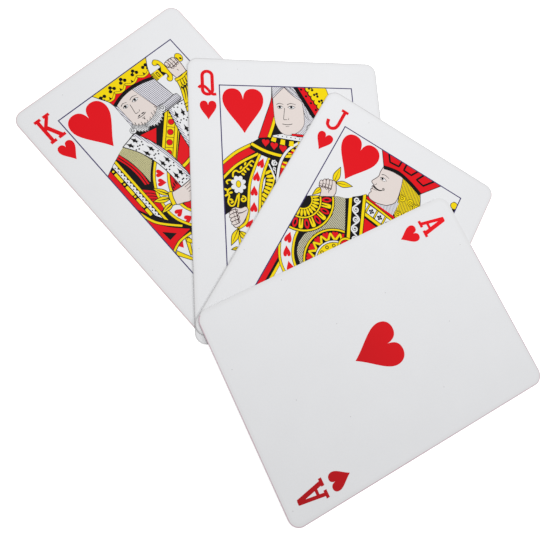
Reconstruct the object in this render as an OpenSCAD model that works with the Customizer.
// Four loose playing cards of one suit, fanned by hand about their lower left corners.
// The king lies at the bottom, then the queen, the jack and the ace, each turned clockwise on the last.
// Every card is pasteboard: a face ply and a back ply of paper with opaque paste between them.
// Millimetres, +Z up. The origin is the middle of the king's underside, +Y runs to the head of the king.

/* [Card] */
// Width of a card, along its short edges
card_w = 63.5; // [57:0.5:70]
// Length of a card, along its long edges
card_l = 88.9; // [80:0.1:95]
// Radius of the die-cut corners
corner_r = 3.4; // [2:0.1:6]

/* [Pasteboard] */
// Thickness of the paper ply that carries the printed face
face_t = 0.13; // [0.08:0.01:0.2]
// Thickness of the dark paste that keeps light from showing through
paste_t = 0.04; // [0.02:0.01:0.1]
// Thickness of the paper ply that carries the back pattern
back_t = 0.13; // [0.08:0.01:0.2]

/* [Stack] */
// Air between one card and the card on top of it
air_gap = 0.06; // [0.04:0.01:0.3]

/* [Queen on king] */
// Turn of the queen from square on the king, clockwise in degrees
queen_turn = 40; // [0:1:90]
// Pinch point from the king's left edge
queen_pinch_x = 3.3; // [0:0.1:30]
// Pinch point from the king's lower edge
queen_pinch_y = 5.8; // [0:0.1:40]

/* [Jack on queen] */
// Turn of the jack from square on the queen, clockwise in degrees
jack_turn = 33; // [0:1:90]
// Pinch point from the queen's left edge
jack_pinch_x = 7.6; // [0:0.1:30]
// Pinch point from the queen's lower edge
jack_pinch_y = 4.4; // [0:0.1:40]

/* [Ace on jack] */
// Turn of the ace from square on the jack, clockwise in degrees
ace_turn = 34; // [0:1:90]
// Pinch point from the jack's left edge
ace_pinch_x = 5.6; // [0:0.1:30]
// Pinch point from the jack's lower edge
ace_pinch_y = 3.5; // [0:0.1:40]

/* [Hidden] */
card_t = back_t + paste_t + face_t;
stack_step = card_t + air_gap;
lower_left = [-card_w / 2, -card_l / 2];
paper_white = [0.88, 0.90, 0.90];
back_red = [0.70, 0.16, 0.18];
paste_grey = [0.24, 0.25, 0.27];
$fn = 96;

// Outline of a card about its middle: a cross of two rectangles and a round at each corner
module card_outline() {
    square([card_w - 2 * corner_r, card_l], center = true);
    square([card_w, card_l - 2 * corner_r], center = true);
    for (side = [-1, 1], end = [-1, 1])
        translate([side * (card_w / 2 - corner_r), end * (card_l / 2 - corner_r)])
            circle(r = corner_r);
}

// One sheet of the pasteboard, from height z up
module sheet(z, thickness) {
    translate([0, 0, z])
        linear_extrude(height = thickness)
            card_outline();
}

module back_ply() {
    color(back_red)
        sheet(0, back_t);
}

module paste_core() {
    color(paste_grey)
        sheet(back_t, paste_t);
}

module face_ply() {
    color(paper_white)
        sheet(back_t + paste_t, face_t);
}

// Lays a card on the one below, turned clockwise about a pinch point given from the lower left corner
module fanned(pinch, turn) {
    pivot = lower_left + pinch;
    translate([pivot.x, pivot.y, stack_step])
        rotate([0, 0, -turn])
            translate([-pivot.x, -pivot.y, 0])
                children();
}

module on_queen() {
    fanned([queen_pinch_x, queen_pinch_y], queen_turn)
        children();
}

module on_jack() {
    on_queen()
        fanned([jack_pinch_x, jack_pinch_y], jack_turn)
            children();
}

module on_ace() {
    on_jack()
        fanned([ace_pinch_x, ace_pinch_y], ace_turn)
            children();
}

module king_back_ply() {
    back_ply();
}

module king_paste_core() {
    paste_core();
}

module king_face_ply() {
    face_ply();
}

module queen_back_ply() {
    on_queen() back_ply();
}

module queen_paste_core() {
    on_queen() paste_core();
}

module queen_face_ply() {
    on_queen() face_ply();
}

module jack_back_ply() {
    on_jack() back_ply();
}

module jack_paste_core() {
    on_jack() paste_core();
}

module jack_face_ply() {
    on_jack() face_ply();
}

module ace_back_ply() {
    on_ace() back_ply();
}

module ace_paste_core() {
    on_ace() paste_core();
}

module ace_face_ply() {
    on_ace() face_ply();
}

king_back_ply();
king_paste_core();
king_face_ply();
queen_back_ply();
queen_paste_core();
queen_face_ply();
jack_back_ply();
jack_paste_core();
jack_face_ply();
ace_back_ply();
ace_paste_core();
ace_face_ply();
